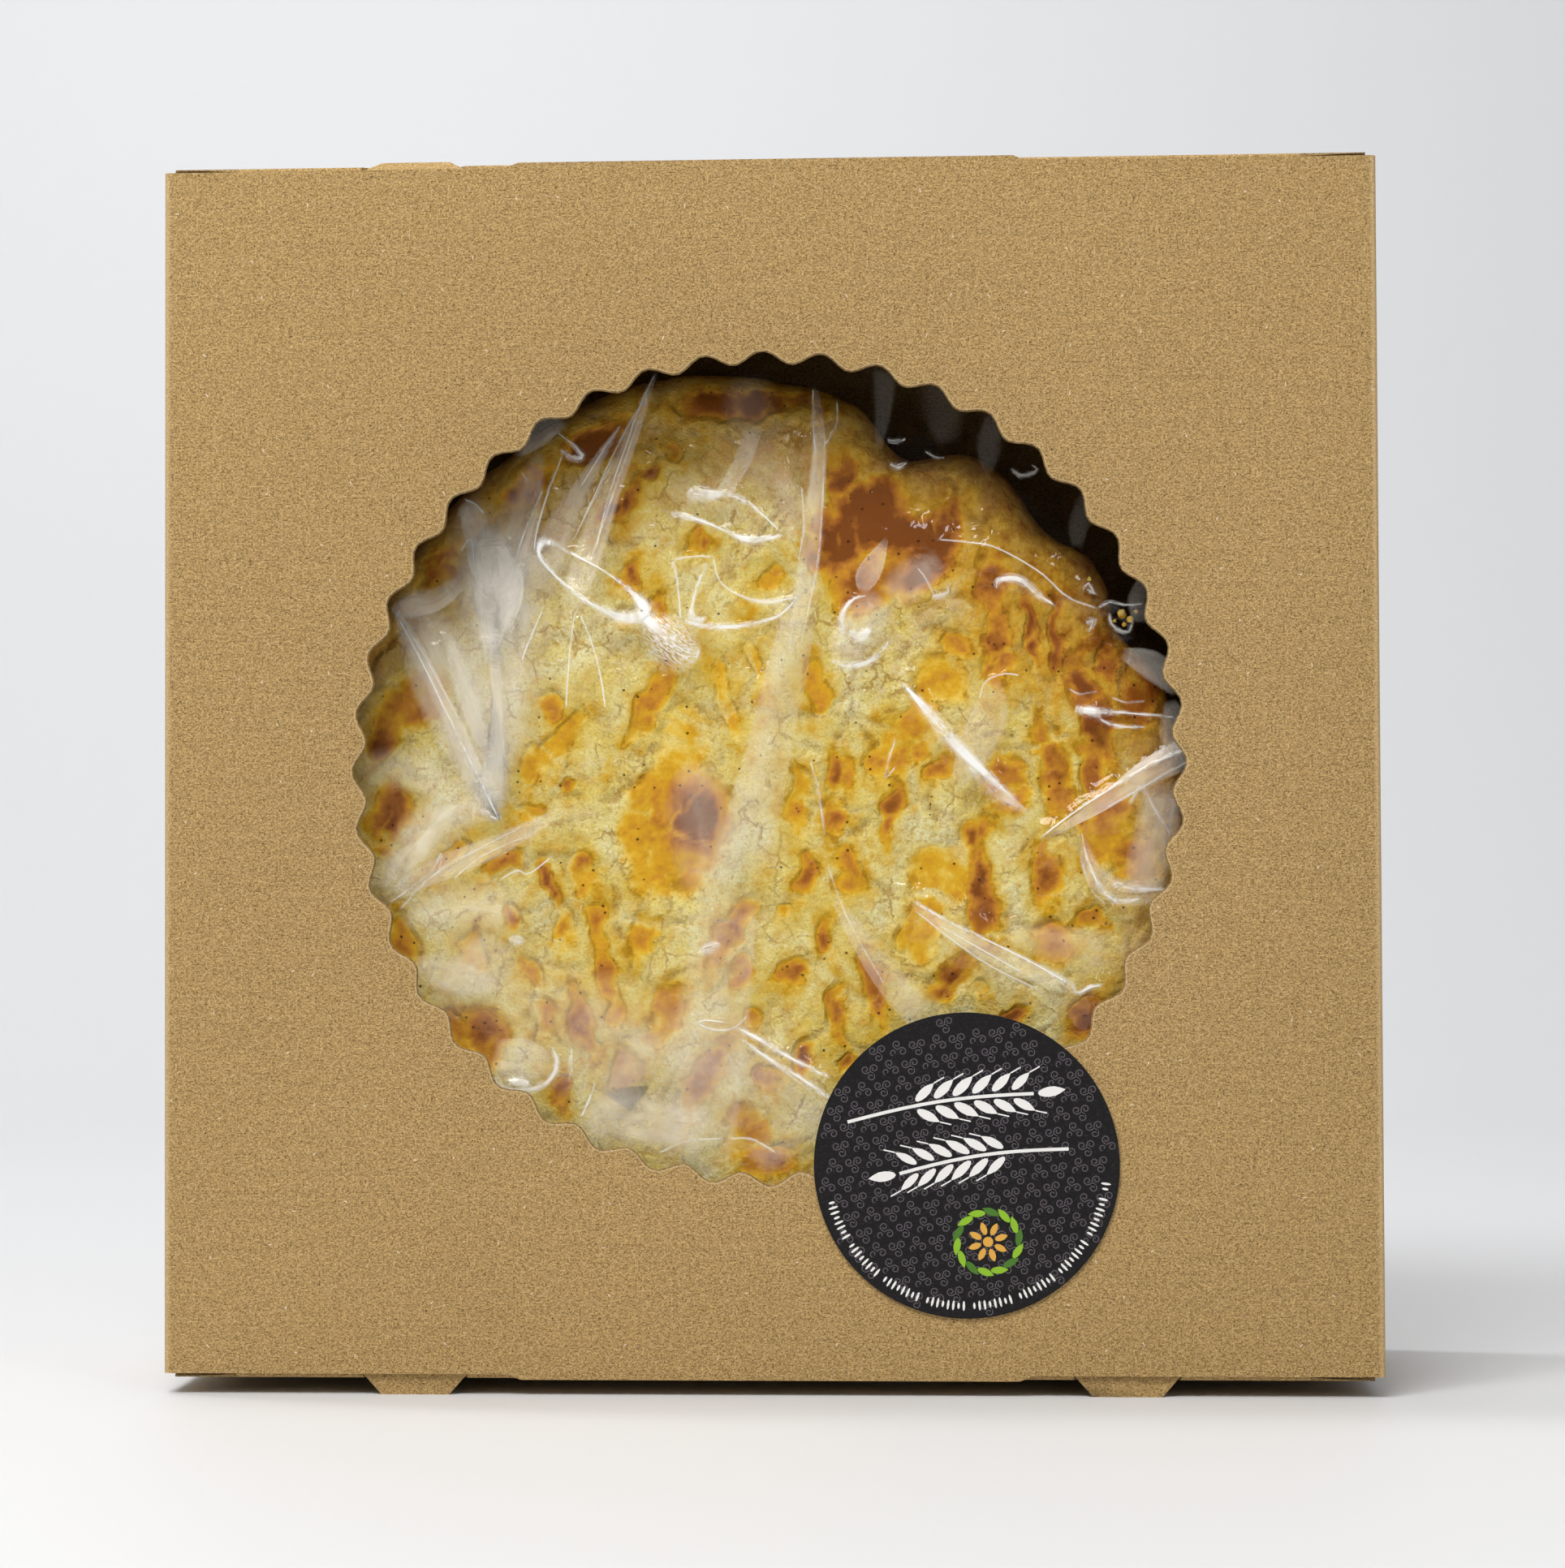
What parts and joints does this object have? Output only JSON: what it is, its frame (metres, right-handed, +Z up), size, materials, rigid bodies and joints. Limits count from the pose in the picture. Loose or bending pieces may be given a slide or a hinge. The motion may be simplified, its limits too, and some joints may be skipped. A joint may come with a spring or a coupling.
{
  "type": "boxed breton butter cake",
  "caption": "Flat round butter cake in crumpled clear film, shut in an upright kraft carton with a wavy-edged round window and a round dark label at its lower right.",
  "frame": {"origin": "on the floor under the middle of the carton, which stands upright on its lugs", "axes": "+Z up, window and label towards -Y, +X to the right as seen from the front"},
  "size_m": [0.2032, 0.064, 0.2075],
  "materials": {
    "carton": "uncoated brown kraft board",
    "cake": "baked butter dough, pale yellow crackled top with glazed orange-brown hollows",
    "film": "crumpled clear cellophane",
    "label": "satin black print with pale motifs"
  },
  "bodies": {
    "root": {"carton": "carton", "cake": "cake", "film": "film", "label": "label"}
  },
  "joints": []
}
